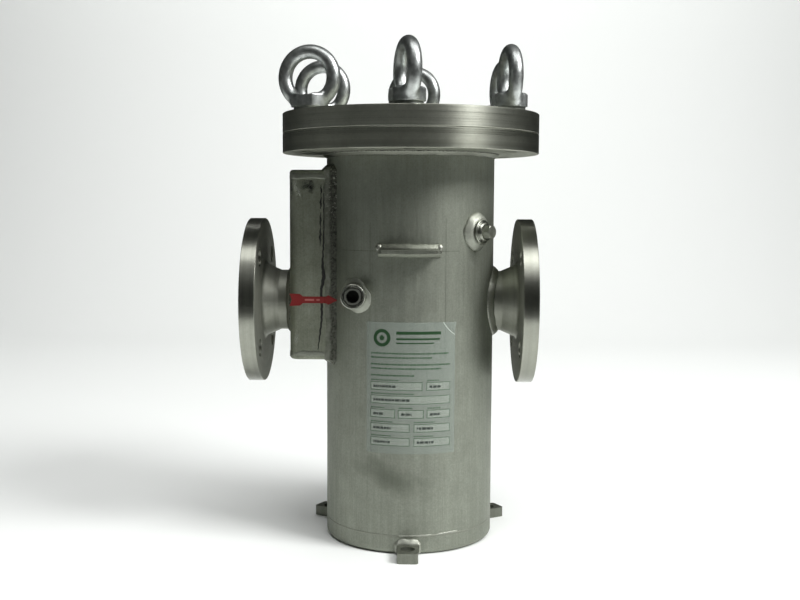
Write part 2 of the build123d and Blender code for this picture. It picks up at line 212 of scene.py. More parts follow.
def steel(name, light, dark, rough, marks, mark_mm, coarse_mm, relief_mm, patch_mm, patch, grain):
    """Bare steel: fine and coarse marks along a direction, soft stains and a fine grain.
    marks gives, for a node tree, the coordinates that the marks follow, their direction, and
    how dull the surface is (0 to 1), where the lathe left it rough."""
    material, tree = new_material(name)
    where, direction, dull = marks(tree)
    light, dark = linear(light), linear(dark)
    fine = cloudy(tree, mark_mm, 3, 0.6, where)
    tone = toned(tree, cloudy(tree, coarse_mm, 2, 0.5, where), 0.3, 0.7, dark, light, 0.2, 0.9)
    tone = toned(tree, cloudy(tree, patch_mm, 7, 0.72), 0.4, 0.68, tone, dark, 0, patch)
    speckle = [cloudy(tree, 1.8, 5, 0.85), 0.3, 0.7, 1 - grain, 1 + grain]
    scale = {0: tone, 3: add(tree, "MapRange", speckle)}
    tone = add(tree, "VectorMath", scale, operation="SCALE")
    sheen = add(tree, "MapRange", [fine, 0.3, 0.7, rough - 0.07, rough + 0.09])
    drawn = {}
    if direction:
        sheen = add(tree, "Mix", {0: dull, 2: sheen, 3: 0.62})
        streaks = add(tree, "MapRange", [dull, 0, 1, 0.75, 0.1])
        drawn = {"Anisotropic": streaks, "Anisotropic Rotation": 0.25, "Tangent": direction}
    bare_metal(tree, tone, sheen, fine, relief_mm, drawn)
    return material


def upright(tree, stretch=30):
    """Marks along Z: coordinates squeezed along it, so that noise on them draws streaks."""
    place = add(tree, "TexCoord").outputs["Object"]
    squeezed = add(tree, "VectorMath", [place, (1, 1, 1 / stretch)], operation="MULTIPLY")
    return squeezed, None, None


def facing(tree, axis):
    """1 on faces square to an axis, 0 on the sides of a turned piece."""
    normal = add(tree, "NewGeometry").outputs["True Normal"]
    part = add(tree, "SeparateXYZ", [normal]).outputs[axis]
    size = add(tree, "Math", [part], operation="ABSOLUTE")
    return add(tree, "MapRange", [size, 0.6, 0.95, 0, 1])


def round_z(tree):
    """Marks round the vessel's axis, dull on its level faces."""
    return *round_marks(tree, "Z"), facing(tree, "Z")


nozzle_height = 238
nozzle_centre = (0, 0, nozzle_height / 1000)


def round_nozzle(tree):
    """Marks round the nozzle axis, dull on the faces and on the hub, under 46 mm from it."""
    marks, direction = round_marks(tree, "X", nozzle_centre)
    radius = add(tree, "SeparateXYZ", [marks]).outputs["X"]
    hub = add(tree, "MapRange", [radius, 0.046, 0.05, 0.75, 0])
    dull = add(tree, "Math", [facing(tree, "X"), hub], operation="MAXIMUM")
    return marks, direction, dull


# Rolled pipe, pickled and rubbed down: dull, with faint upright streaks.
shell_steel = steel(
    "pickled stainless pipe", "#a2a69a", "#92968b", 0.58, upright, 1.4, 6, 0.008, 24, 1.0, 0.17
)
# Plate of the inlet chamber, pickled and a shade darker.
chamber_steel = steel(
    "pickled stainless plate", "#a9ad9e", "#8f9384", 0.6, upright, 1.8, 9, 0.008, 20, 1.0, 0.2
)
# Flanges, turned: rings of tool marks round the vessel or the nozzle axis.
body_flange_steel = steel(
    "turned stainless flange", "#b1b3a7", "#939589", 0.33, round_z, 0.45, 3, 0.006, 34, 0.9, 0.06
)
# The cover is the flange's steel with lighter tones: a painted highlight for the brighter light on
# its rim.
cover_steel = steel(
    "turned stainless cover, painted lighter", "#c3c5b9", "#a2a498", 0.34, round_z, 0.45, 3, 0.006, 34, 0.9, 0.06
)
nozzle_finish = (0.34, round_nozzle, 0.5, 4, 0.005, 26, 0.8, 0.06)
nozzle_steel = steel("turned stainless nozzle flange", "#adaea4", "#93958b", *nozzle_finish)
# Bar of the bracket and the lugs, sawn to length and left as it came.
plain_bar_steel = steel(
    "sawn stainless bar", "#94978c", "#7e8177", 0.55, upright, 0.8, 6, 0.015, 14, 0.6, 0.1
)


def finish(material, slot_name, *names):
    """Gives CAD nodes a material; slot_name, the record's slot it stands for, is not used."""
    for name in names:
        nodes[name].data.materials.clear()
        nodes[name].data.materials.append(material)


def stain_shell(material):
    """Darkens the shell in one slanting patch below the label, with an uneven edge:
    distance = |(d . a, d . b, d . c)|, d from its middle, with a, b and c its axes, as long
    as 1 / 38 mm, 1 / 15 mm and 1 / 50 mm."""
    tree = material.node_tree
    shader = next(node for node in tree.nodes if node.type == "BSDF_PRINCIPLED")
    clean = shader.inputs["Base Color"].links[0].from_socket
    place = add(tree, "TexCoord").outputs["Object"]
    away = add(tree, "VectorMath", [place, (-0.016, -0.084, 0.074)], operation="SUBTRACT")
    shares = [
        add(tree, "VectorMath", [away, axis], operation="DOT_PRODUCT")
        for axis in ((24.2, 0, -10.3), (26, 0, 61), (0, 20, 0))
    ]
    far = add(tree, "VectorMath", [add(tree, "CombineXYZ", shares)], operation="LENGTH")
    uneven = add(tree, "MapRange", [cloudy(tree, 16, 4), 0.3, 0.7, -0.3, 0.3])
    torn = add(tree, "Math", [far, uneven])
    dirty = toned(tree, torn, 0.1, 1.15, clean, linear("#6c7065"), 0.75, 0)
    tree.links.new(dirty.outputs[2], shader.inputs["Base Color"])


stain_shell(shell_steel)
finish(shell_steel, "shell_steel", "vessel_shell", "bottom_plate")
finish(chamber_steel, "shell_steel", "chamber_wall", "chamber_top_plate", "chamber_bottom_plate")
finish(body_flange_steel, "flange_steel", "body_flange", "basket_seat_ring")
finish(cover_steel, "cover_steel", "cover_plate")
finish(nozzle_steel, "flange_steel", "inlet_flange", "outlet_flange")
bars = ["gauge_bracket", "foot_lug_front", "foot_lug_right", "foot_lug_left"]
finish(plain_bar_steel, "shell_steel", *bars)
for name in bars:
    eased = nodes[name].modifiers.new("eased edges", "BEVEL")
    eased.width = 0.0005
    eased.segments = 2
    eased.angle_limit = math.radians(50)


# Eye nuts and washers
# Forged, then tumbled bright: a smooth uneven skin with sharp reflections.
def forged(name, light, dark, rough, dent_mm, relief_mm):
    """Bright metal with shallow dents and a soft change of tone."""
    material, tree = new_material(name)
    dents = cloudy(tree, dent_mm, 2, 0.5)
    tone = toned(tree, cloudy(tree, 9, 3), 0.35, 0.65, linear(dark), linear(light))
    sheen = add(tree, "MapRange", [dents, 0.3, 0.7, rough, rough + 0.1])
    bare_metal(tree, tone, sheen, dents, relief_mm)
    return material


eye_steel = forged("tumbled forged eye nut", "#d6dad8", "#a9adab", 0.36, 2.6, 0.14)
washer_steel = forged("tumbled washer", "#b6b9b5", "#93968f", 0.4, 1.2, 0.02)


def skin(field, low, high, cell):
    """Surface nets: one vertex in each grid cell that field = 0 crosses, at the mean of
    its edge crossings, then two Newton steps p - F grad F / |grad F|^2 onto the surface."""
    axes = [np.arange(a, b + cell, cell) for a, b in zip(low, high)]
    grid = np.stack(np.meshgrid(*axes, indexing="ij"), -1)
    value = field(grid)
    inside = value < 0
    shape = tuple(n - 1 for n in value.shape)
    total, hits = np.zeros(shape + (3,)), np.zeros(shape)
    corners = [(i, j, k) for i in (0, 1) for j in (0, 1) for k in (0, 1)]

    def at(array, c):
        """The values at one corner of every cell."""
        return array[c[0] : c[0] + shape[0], c[1] : c[1] + shape[1], c[2] : c[2] + shape[2]]

    for c in corners:
        for axis in range(3):
            if c[axis]:
                continue
            d = tuple(c[k] + (k == axis) for k in range(3))
            f, g = at(value, c), at(value, d)
            cross = (f < 0) != (g < 0)
            share = np.where(cross, f / np.where(cross, f - g, 1), 0)[..., None]
            point = at(grid, c) * (1 - share) + at(grid, d) * share
            total += point * cross[..., None]
            hits += cross
    used = hits > 0
    index = np.full(shape, -1)
    index[used] = np.arange(used.sum())
    points = total[used] / hits[used][:, None]
    for _ in range(2):
        f = field(points)
        slope = np.stack(
            [(field(points + 0.05 * e) - field(points - 0.05 * e)) / 0.1 for e in np.eye(3)], -1
        )
        points = points - slope * (f / (slope ** 2).sum(-1).clip(0.05))[:, None]
    faces = []
    for axis in range(3):
        u, v = (axis + 1) % 3, (axis + 2) % 3
        first = [slice(1, -1)] * 3
        first[axis] = slice(0, -1)
        second = list(first)
        second[axis] = slice(1, None)
        a, b = inside[tuple(first)], inside[tuple(second)]
        for flip, found in ((False, a & ~b), (True, ~a & b)):
            at_cell = np.argwhere(found) + [0 if k == axis else 1 for k in range(3)]
            quad = []
            for du, dv in ((0, 0), (1, 0), (1, 1), (0, 1)):
                cell_at = at_cell.copy()
                cell_at[:, u] -= 1 - du
                cell_at[:, v] -= 1 - dv
                quad.append(index[tuple(cell_at.T)])
            quad = np.stack(quad, 1)
            faces += (quad[:, ::-1] if flip else quad).tolist()
    return points, faces


ring_height, ring_radius, ring_thick, eye_hole = 28, 24.25, 6.75, 17.6
base_radius, base_top, base_flats, base_bevel = 17.4, 12.9, 15.6, 1.2
bore_radius, bore_top, blend = 8.1, 14, 4


def forged_eye(p):
    """Signed distance of an eye nut: ring, and base with flats and a bevel, blended over
    4 mm: min(a, b) - h^2 / 16, h = max(4 - |a - b|, 0); less the eye and the tapped bore."""
    x, y, z = p[..., 0], p[..., 1], p[..., 2]
    radius = np.hypot(x, y)
    off_eye = np.hypot(x, z - ring_height)
    ring = np.hypot(off_eye - ring_radius, y) - ring_thick
    bevel = (radius - base_radius + z - base_top) / math.sqrt(2) + base_bevel
    base = np.maximum.reduce([radius - base_radius, z - base_top, np.abs(y) - base_flats, bevel])
    h = np.maximum(blend - np.abs(ring - base), 0)
    nut = np.minimum(ring, base) - h * h / (4 * blend)
    above_bore = 40 * (z > bore_top)
    return np.maximum.reduce([nut, eye_hole - off_eye, 0.05 - z, bore_radius - radius - above_bore])


stud_circle, first_stud, washer_top = 110, 28.7, 426.8


def stud_place(number, height):
    """The middle of stud 1 to 6 at a height; they stand 60 degrees apart."""
    spot = math.radians(first_stud + 60 * (number - 1))
    return np.array((stud_circle * math.cos(spot), stud_circle * math.sin(spot), height))


eye_points, eye_faces = skin(forged_eye, (-32.2, -19.1, -1.3), (32.2, 19.1, 60.2), 0.95)
# Each nut stopped at another angle when it was screwed down.
eye_turns = {1: -75, 2: -24, 3: -16, 4: -14, 5: -74, 6: -81}
for number, turn in eye_turns.items():
    t = math.radians(turn)
    spin = np.array([(math.cos(t), -math.sin(t), 0), (math.sin(t), math.cos(t), 0), (0, 0, 1)])
    points = eye_points @ spin.T + stud_place(number, washer_top)
    eye = mesh_object(f"forged_eye_{number}", points, eye_faces, [eye_steel], 50)
    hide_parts(f"eye_nut_{number}")
    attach(eye, f"eye_nut_{number}")
    finish(washer_steel, "washer_steel", f"washer_{number}")


# Studs
# Threaded all along, two millimetres a turn, with a chamfer at each end.
def all_round(count):
    """Angles all the way round, in equal steps."""
    return np.linspace(0, 2 * math.pi, count, endpoint=False)


def threaded_rod(crest, depth, pitch, length, chamfer, sides=40):
    """Closed rod along Z with a ridge round it, eased at its ends:
    r = crest - depth |1 - 2 frac(z / pitch - angle / 2 pi)|."""
    level = np.linspace(0, length, max(int(length / pitch * 6), 8) + 1)
    height, angle = np.meshgrid(level, all_round(sides), indexing="ij")
    ridge = np.abs(1 - 2 * ((height / pitch - angle / (2 * math.pi)) % 1))
    end = np.minimum(height, length - height)
    radius = np.minimum(crest - depth * ridge, crest - chamfer + end)
    points = np.stack((radius * np.cos(angle), radius * np.sin(angle), height), -1).reshape(-1, 3)
    k = np.arange(sides)
    m = np.roll(k, -1)
    foot, last = len(points), len(points) - sides
    caps = [(foot + 0 * k, m, k), (foot + 1 + 0 * k, last + k, last + m)]
    faces = list(grid_faces(len(level), sides, round_columns=True))
    faces += [face for cap in caps for face in np.stack(cap, 1)]
    return np.vstack((points, (0, 0, 0), (0, 0, length))), faces


def joined(parts):
    """Joins several pairs of points and faces into one pair."""
    points, faces, first = [], [], 0
    for part_points, part_faces in parts:
        points.append(part_points)
        faces += [np.asarray(face) + first for face in part_faces]
        first += len(part_points)
    return np.vstack(points), faces


stud_steel = forged("rolled thread on a stainless stud", "#a9aba3", "#7c7f76", 0.3, 1.0, 0.02)
stud_foot, stud_length = 386, 52.8
rod, rod_faces = threaded_rod(7.95, 1.0, 2, stud_length, 1.2)
rods = [(rod + stud_place(number, stud_foot), rod_faces) for number in eye_turns]
studs = mesh_object("threaded_studs", *joined(rods), [stud_steel], 35)
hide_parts("cover_studs")
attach(studs, "vessel")

# Ports, plugs, drain and vent
# Small turned fittings, a little brighter than the vessel; soft rings under the plugs.
fitting_steel = forged("turned port fitting", "#bcbeb4", "#8f9287", 0.34, 1.0, 0.02)
finish(fitting_steel, "port_steel", "upper_port_socket", "upper_port_plug")
finish(fitting_steel, "port_steel", "drain_plug", "vent_plug")


lower_port_x, lower_port_height, upper_port_height = -53.2, 248, 309


def oily_port():
    """The low port's steel, by distance from its axis: black painted shade in the key hole,
    bright at its edge, dark painted shade in the gap of the thread between plug and socket,
    then bright on the socket's rim."""
    material, tree = new_material("port steel with oil in its thread")
    centre = (lower_port_x / 1000, 0, lower_port_height / 1000)
    radius = add(tree, "SeparateXYZ", [round_marks(tree, "Y", centre)[0]]).outputs["X"]
    uneven = add(tree, "MapRange", [cloudy(tree, 2.5, 3), 0.3, 0.7, -0.0005, 0.0005])
    place = add(tree, "Math", [radius, uneven])
    # Painted shade: the key hole and the gap between plug and socket are darkened where no light
    # reaches.
    hole = add(tree, "MapRange", [radius, 0.0058, 0.0064, 0.96, 0])
    thread_in = add(tree, "MapRange", [place, 0.0076, 0.0084, 0, 0.85])
    thread_out = add(tree, "MapRange", [place, 0.0092, 0.0098, 0.85, 0])
    thread = add(tree, "Math", [thread_in, thread_out], operation="MINIMUM")
    dark = add(tree, "Math", [hole, thread], operation="MAXIMUM")
    tones = {0: dark, 6: linear("#b4b6ac"), 7: linear("#23241f")}
    tone = add(tree, "Mix", tones, data_type="RGBA")
    bare_metal(tree, tone, 0.34, cloudy(tree, 1.2, 3), 0.06)
    return material


finish(oily_port(), "port_steel", "lower_port_socket", "lower_port_plug")


def plain(name, colour, rough, metallic=0.0, opacity=1.0, patch_mm=3, vary=0.05):
    """A material of one colour, whose sheen varies a little in patches."""
    material, tree = new_material(name)
    sheen = add(tree, "MapRange", [cloudy(tree, patch_mm), 0.3, 0.7, rough - vary, rough + vary])
    looks = {"Roughness": sheen, "Metallic": metallic, "Alpha": opacity}
    surface(tree, {"Base Color": linear(colour), **looks})
    return material


seal_black = plain("black sealing ring", "#1d1f1e", 0.6)
gasket_grey = plain("graphite fibre gasket", "#3b3d3c", 0.7)
finish(seal_black, "plug_seal", "lower_port_seal", "upper_port_seal", "drain_seal", "vent_seal")
finish(gasket_grey, "gasket_fibre", "cover_gasket", "seat_gasket")

# Basket
# Rim, floor, ears and bail of bright drawn steel, with a lining of woven wire inside.
basket_steel = forged("bright basket steel", "#b6b8b0", "#94978d", 0.27, 4, 0.02)
lining_steel = forged("woven wire cloth", "#a8aaa2", "#7d8077", 0.4, 0.8, 0.1)
basket_pieces = ["basket_rim", "basket_screen", "basket_floor", "basket_ears", "basket_bail"]
finish(basket_steel, "basket_steel", *basket_pieces)
finish(lining_steel, "lining_steel", "basket_lining")


# Perforated screen
# Sheet rolled to a tube, with five-millimetre round holes punched in staggered rows and a
# plain strip where its edges meet.
def perforated_tube(outer, wall, low, high, columns, rows, hole_r, margin):
    """Each cell is a ring of 12 quads between a hole and its rectangle; every other row is
    turned by half a cell. Both walls have the same cells, joined round each hole, and the
    bands above and below them go round the tube's edges."""
    cell_w, cell_h = 2 * math.pi / columns, (high - low - 2 * margin) / rows
    row, column = np.meshgrid(np.arange(rows), np.arange(columns), indexing="ij")
    middle_turn = (column + 0.5 * (row % 2)) * cell_w
    middle_height = low + margin + (row + 0.5) * cell_h
    u = np.array([0.5, 0.5, 0.25, 0, -0.25, -0.5, -0.5, -0.5, -0.25, 0, 0.25, 0.5]) * cell_w
    v = np.array([0, 0.5, 0.5, 0.5, 0.5, 0.5, 0, -0.5, -0.5, -0.5, -0.5, -0.5]) * cell_h
    turn = np.radians([0, 35, 62, 90, 118, 145, 180, 215, 242, 270, 298, 325])
    angles = middle_turn[..., None, None] + (u, hole_r / outer * np.cos(turn))
    heights = middle_height[..., None, None] + (v, hole_r * np.sin(turn))
    number = np.arange(angles.size).reshape(angles.shape)
    rim, hole = number[:, :, 0], number[:, :, 1]
    next_rim, next_hole = np.roll(rim, -1, -1), np.roll(hole, -1, -1)
    inner = angles.size
    rings = np.stack((rim, next_rim, next_hole, hole), -1).reshape(-1, 4)
    through = np.stack((hole, next_hole, next_hole + inner, hole + inner), -1)[:, 1:]
    faces = [*rings, *(rings[:, ::-1] + inner), *through.reshape(-1, 4)]
    faces += [*hole[:, 0], *(hole[:, 0, ::-1] + inner)]
    walls = (outer, outer - wall)
    points = [
        np.stack((angles, heights, 0 * angles + radius), -1).reshape(-1, 3) for radius in walls
    ]
    around = np.arange(4 * columns) * cell_w / 4
    for z_in, z_out, order in ((low + margin, low, -1), (high - margin, high, 1)):
        first = sum(len(part) for part in points)
        for z, radius in zip((z_in, z_out, z_out, z_in), (walls[0], walls[0], walls[1], walls[1])):
            points.append(np.stack((around, 0 * around + z, 0 * around + radius), 1))
        band = grid_faces(4, len(around), round_columns=True)
        faces += list(band[:, ::order] + first)
    # Points that cells share are made one: the same angle, height and radius.
    angle, height, radius = np.vstack(points).T
    full_turn = round(2 * math.pi * 1e4)
    places = np.round(angle % (2 * math.pi) * 1e4) % full_turn
    keys = np.stack((places, height * 1000, radius * 1000))
    kept, same = np.unique(np.round(keys), axis=1, return_index=True, return_inverse=True)[1:]
    points = np.stack((radius * np.cos(angle), radius * np.sin(angle), height), 1)[kept]
    return points, [same.reshape(-1)[face] for face in faces]


tube = perforated_tube(65.0, 1.5, 46.0, 295.0, 48, 32, 2.5, 11.5)
screen = mesh_object("perforated_screen", *tube, [basket_steel], 30)
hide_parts("basket_screen")
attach(screen, "basket")


# Welds
# Each bead is a closed mesh: a bulged face between its two toes, with the ripples of
# the weld pool, and a root inside the metal. It is darker where the heat ended at the toes.
shell_radius = 84.15
rng = np.random.default_rng(7)


def weld_metal(name, crest, toe, rough):
    """Weld metal with one tone on the crest and another at the toes, by the attribute across."""
    material, tree = new_material(name)
    across = add(tree, "Attribute", attribute_name="across").outputs["Fac"]
    off_crest = add(tree, "Math", [across], operation="ABSOLUTE")
    grain = cloudy(tree, 1.5, 3)
    uneven = add(tree, "MapRange", [grain, 0.3, 0.7, -0.2, 0.2])
    place = add(tree, "Math", [off_crest, uneven])
    tone = toned(tree, place, 0.62, 1.0, linear(crest), linear(toe))
    sheen = add(tree, "MapRange", [grain, 0.3, 0.7, rough, rough + 0.15])
    bare_metal(tree, tone, sheen, grain, 0.12)
    return material


# Weld runs brushed clean, and runs left dark by the heat.
weld_bright = weld_metal("weld metal, brushed", "#b3b5ab", "#8f9187", 0.42)
weld_pad = weld_metal("weld metal, dressed", "#b3b6ab", "#9c9f94", 0.52)
weld_grey = weld_metal("weld metal, grey", "#888b80", "#7a7d72", 0.46)
weld_dull = weld_metal("weld metal, dark from heat", "#8f9187", "#4a4b44", 0.46)


def corner_weld_metal():
    """The chamber's corner run: ground smooth on the chamber (across -1), and dark and scaly
    towards the shell (across 1), with painted shade of the concave corner there, and bright
    specks that grow towards the top."""
    material, tree = new_material("weld metal of the chamber corner")
    across = add(tree, "Attribute", attribute_name="across").outputs["Fac"]
    drift = add(tree, "MapRange", [cloudy(tree, 9, 2), 0.3, 0.7, -0.12, 0.12])
    shell_side = add(tree, "Math", [across, drift])
    grain = cloudy(tree, 2.2, 5, 0.7)
    # Dark scale, deepened by painted shade where the run meets the shell in the concave corner.
    scaly = toned(tree, grain, 0.36, 0.66, linear("#3d3f38"), linear("#7b7d73"))
    smooth = toned(tree, cloudy(tree, 7), 0.35, 0.7, linear("#7c7f74"), linear("#9c9f94"))
    tone = toned(tree, shell_side, -0.25, 0.15, smooth, scaly)
    specks = add(tree, "MapRange", [cloudy(tree, 1.7, 1), 0.62, 0.7, 0, 1])
    place = add(tree, "TexCoord").outputs["Object"]
    height = add(tree, "SeparateXYZ", [place]).outputs["Z"]
    brushed = add(tree, "MapRange", [height, 0.31, 0.335, 0.1, 1])
    speck = add(tree, "Math", [specks, brushed], operation="MULTIPLY")
    tone = add(tree, "Mix", {0: speck, 6: tone, 7: linear("#b6b8ae")}, data_type="RGBA")
    sheen = add(tree, "MapRange", [grain, 0.3, 0.7, 0.45, 0.65])
    bare_metal(tree, tone, sheen, grain, 0.25)
    return material


weld_corner = corner_weld_metal()
weld_flush = weld_metal("weld metal, ground flush", "#989b90", "#85887d", 0.5)


def resampled(line, at, places=None):
    """Points of a line at some places; its own points lie at 0, 1, 2 ... or at places."""
    line = np.asarray(line, float)
    places = range(len(line)) if places is None else places
    return np.stack([np.interp(at, places, part) for part in line.T], 1)


def waviness(share, count, amount):
    """Slow random variation round a path: sum of sines of whole periods, share from 0 to 1."""
    total = np.zeros_like(share)
    for period in range(2, count):
        start = rng.random()
        total += np.sin(2 * math.pi * (period * share + start)) * rng.random() / period ** 0.5
    return amount * total / max(np.abs(total).max(), 1e-9)


def bead(
    name, root, toe_a, toe_b, rise, material, closed=True, pitch=2.6, ripple=0.16, ragged=0.1
):
    """Lays a weld bead along a root line, between two toe lines, all in millimetres.
    Face point = toe_a + u (toe_b - toe_a) + n (rise (1 - v^4) + wave), v = 2u - 1,
    wave = ripple rise |cos(pi (s + 0.9 v^2 width / 2) / pitch)|, s along the path."""
    lines = [np.asarray(line, float) for line in (root, toe_a, toe_b)]
    if closed:
        lines = [np.vstack((line, line[:1])) for line in lines]
    steps = np.linalg.norm(np.diff((lines[1] + lines[2]) / 2, axis=0), axis=1)
    travelled = np.concatenate(([0], np.cumsum(steps)))
    length = travelled[-1]
    count = max(int(length / 0.45), 12)
    s = np.linspace(0, length, count, endpoint=not closed)
    root, toe_a, toe_b = (resampled(line, s, travelled) for line in lines)
    ease = np.ones(count)
    if not closed:
        end = np.minimum(s, length - s)
        ease = np.sqrt(np.clip(1 - (1 - end / 3.0).clip(0) ** 2, 0.02, 1))
    waves = int(min(40, 4 + length / 16))
    spread_a = (ease * (1 + waviness(s / length, waves, ragged)))[:, None]
    spread_b = (ease * (1 + waviness(s / length, waves, ragged)))[:, None]
    toe_a = root + (toe_a - root) * spread_a
    toe_b = root + (toe_b - root) * spread_b
    middle = (toe_a + toe_b) / 2
    outward = middle - root
    outward /= np.linalg.norm(outward, axis=1)[:, None]
    width = np.linalg.norm(toe_b - toe_a, axis=1)
    ripples = max(round(length / pitch), 1)
    phase = s / length * ripples + waviness(s / length, waves, 0.35)
    bulge = rise * ease * (1 + waviness(s / length, waves, 0.18))
    rows = []
    for u in np.linspace(0, 1, 9):
        v = 2 * u - 1
        wave = ripple * rise * np.abs(np.cos(math.pi * (phase + 0.45 * v * v * width / pitch)))
        lift = bulge * (1 - v ** 4) + wave * (1 - v * v) - 0.25 * (abs(v) == 1)
        rows.append(toe_a + u * (toe_b - toe_a) + outward * lift[:, None])
    rows.append(root - outward * 0.4)
    points = np.stack(rows, 1)
    across = np.tile(np.append(np.linspace(-1, 1, 9), 0), count)
    ring = points.shape[1]
    vertices = points.reshape(-1, 3)
    faces = grid_faces(count, ring, closed, True)
    a, b, c, d = np.moveaxis((vertices - vertices.mean(0))[faces], 1, 0)
    outwards = (a * (np.cross(b, c) + np.cross(c, d))).sum() > 0
    if not closed:
        end = np.arange(ring)
        faces = [*faces, end, (count - 1) * ring + end[::-1]]
    if not outwards:
        faces = [face[::-1] for face in faces]
    made = mesh_object(name, vertices, faces, [material], 50)
    made.data.attributes.new("across", "FLOAT", "POINT").data.foreach_set("value", across)
    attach(made, "vessel")
    return made


def on_shell(along, height, lift=0.0):
    """Points on the shell: arc length to the right of the front, height, lift outwards."""
    angle = np.asarray(along, float) / shell_radius
    radius = shell_radius + np.asarray(lift, float)
    flat = np.zeros_like(angle)
    return np.stack((radius * np.sin(angle), -radius * np.cos(angle), flat + height), -1)


def circle_z(radius, height):
    """A level circle round the vessel axis."""
    a = all_round(720)
    return np.stack((radius * np.cos(a), radius * np.sin(a), height + 0 * a), 1)


for name, root, toe_a, toe_b, rise, material in (
    ("base_weld", (82.6, 18), (shell_radius, 17), (shell_radius, 19), 0.22, weld_flush),
    ("body_flange_weld", (shell_radius, 385), (shell_radius, 380.4), (88.6, 385), 0.5, weld_dull),
    ("flange_bore_weld", (84.2, 399.8), (81.3, 400), (84.2, 403), 0.3, weld_bright),
    ("seat_ring_weld", (81.1, 288), (81.1, 290.3), (78.8, 288), 0.2, weld_bright),
):
    bead(name, circle_z(*root), circle_z(*toe_a), circle_z(*toe_b), rise, material)

# Two short raised runs of bright weld metal on the base weld, right of the front lug; their bright
# tone is a painted highlight where the lamp on the right falls.
for letter, start, stop in (("a", -10, 24), ("b", 28, 52)):
    arc = np.linspace(start, stop, 60)
    slant = 0.03 * arc
    bead(
        f"base_weld_highlight_run_{letter}",
        on_shell(arc, 18.2 + slant, -1.2),
        on_shell(arc, 17.3 + slant),
        on_shell(arc, 19.1 + slant),
        0.35,
        weld_bright,
        closed=False,
        pitch=2.2,
        ripple=0.4,
    )

# Chamber to shell: up the front corner, over the top, down the back, under the bottom.
chamber_half, chamber_low, chamber_high, chamber_reach = 42, 182, 368, 118
chamber_bend, plate_thick = 9, 6
corner = math.degrees(math.asin(chamber_half / shell_radius))
corner_x = math.sqrt(shell_radius ** 2 - chamber_half ** 2)
up_z = np.linspace(chamber_low, chamber_high, 60)
over = np.radians(np.linspace(-corner, corner, 40))


def chamber_path(flat_reach, across_radius, out_z, shell_angle):
    """Closed path round the chamber: two uprights and two arcs.
    flat_reach is measured back from the corner along the chamber's flat face."""
    side = []
    for sign, heights in ((-1, up_z), (1, up_z[::-1])):
        a = math.radians(corner + shell_angle)
        x = -shell_radius * math.cos(a) - flat_reach
        y = sign * (shell_radius * math.sin(a) if shell_angle else chamber_half)
        side.append(np.stack((np.full(60, x), np.full(60, y), heights), 1))
    x, y = -across_radius * np.cos(over), across_radius * np.sin(over)
    top = np.stack((x, y, np.full(40, chamber_high + out_z)), 1)
    low = top[::-1].copy()
    low[:, 2] = chamber_low - out_z
    return np.vstack((side[0], top[1:-1], side[1], low[1:-1]))


bead(
    "chamber_weld",
    chamber_path(0, shell_radius, 0, 0),
    chamber_path(10.5, shell_radius + 5.5, 0, 0),
    chamber_path(0, shell_radius, 5.5, 2.4),
    0.4,
    weld_corner,
    pitch=3.4,
    ripple=0.5,
    ragged=0.14,
)


def ribbon(*lines):
    """A strip through two or more lines of points, as a pair of points and faces."""
    points = np.stack(lines, 1).reshape(-1, 3)
    return points, grid_faces(len(lines[0]), len(lines))[:, [0, 3, 2, 1]]


# A dark strip wanders down the chamber's flat sides where the ground run ends: a painted shadow of
# the undercut at the weld's toe.
# Each line is (distance from the corner along the face, height, half width).
seam_dark = plain("painted shadow at the edge of the weld", "#1b1c19", 0.7)
seam_lines = (
    [(10.9, 357, 0.1), (10.8, 342, 0.7), (10.9, 328, 0.5), (11.2, 302, 0.8), (12, 286, 0.7)],
    [(12, 286, 0.7), (12.1, 273, 1.3), (10.8, 265, 1.9), (12, 258, 1.6), (13.6, 251, 1.2)],
    [(13.6, 251, 1.2), (13.4, 240, 1.3), (12.9, 226, 1.1), (14.8, 207, 0.8), (16.8, 192, 0.4)],
    [(13.6, 354, 0.1), (13.4, 348, 0.9), (13.6, 343, 0.2), (13.9, 336, 1.0), (13.9, 330, 0.3)],
    [(14.1, 327, 0.2), (14.2, 319, 0.9), (14.1, 313, 0.4), (14.5, 303, 1.1), (14.5, 293, 0.05)],
)
strips = []
for side in (-1, 1):
    for line in seam_lines:
        reach, height, half = resampled(line, np.linspace(0, len(line) - 1, 24)).T
        reach += 0.25 * np.sin(height * 0.9) + 0.15 * np.sin(height * 2.3)
        face = 0 * reach + side * (chamber_half + 0.12)
        edges = [np.stack((-corner_x - reach + off, face, height), 1) for off in (-half, half)]
        strips.append(ribbon(*edges[::-side]))
seam = mesh_object("chamber_weld_toe_shadow", *joined(strips), [seam_dark])
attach(seam, "vessel")


def chamber_rim(out, height):
    """The chamber's plan from shell to shell, round its bends, moved out, at a height."""
    bend = np.radians(np.linspace(0, 90, 16))
    half, reach, start = chamber_half + out, chamber_reach + out, corner_x - 1
    off_sine, off_cosine = chamber_bend * (1 - np.sin(bend)), chamber_bend * (1 - np.cos(bend))
    xs = np.concatenate(([start], reach - off_sine, reach - off_cosine, [start]))
    ys = np.concatenate(([-half], -half + off_cosine, half - off_sine, [half]))
    return np.stack((-xs, ys, height + 0 * xs), 1)


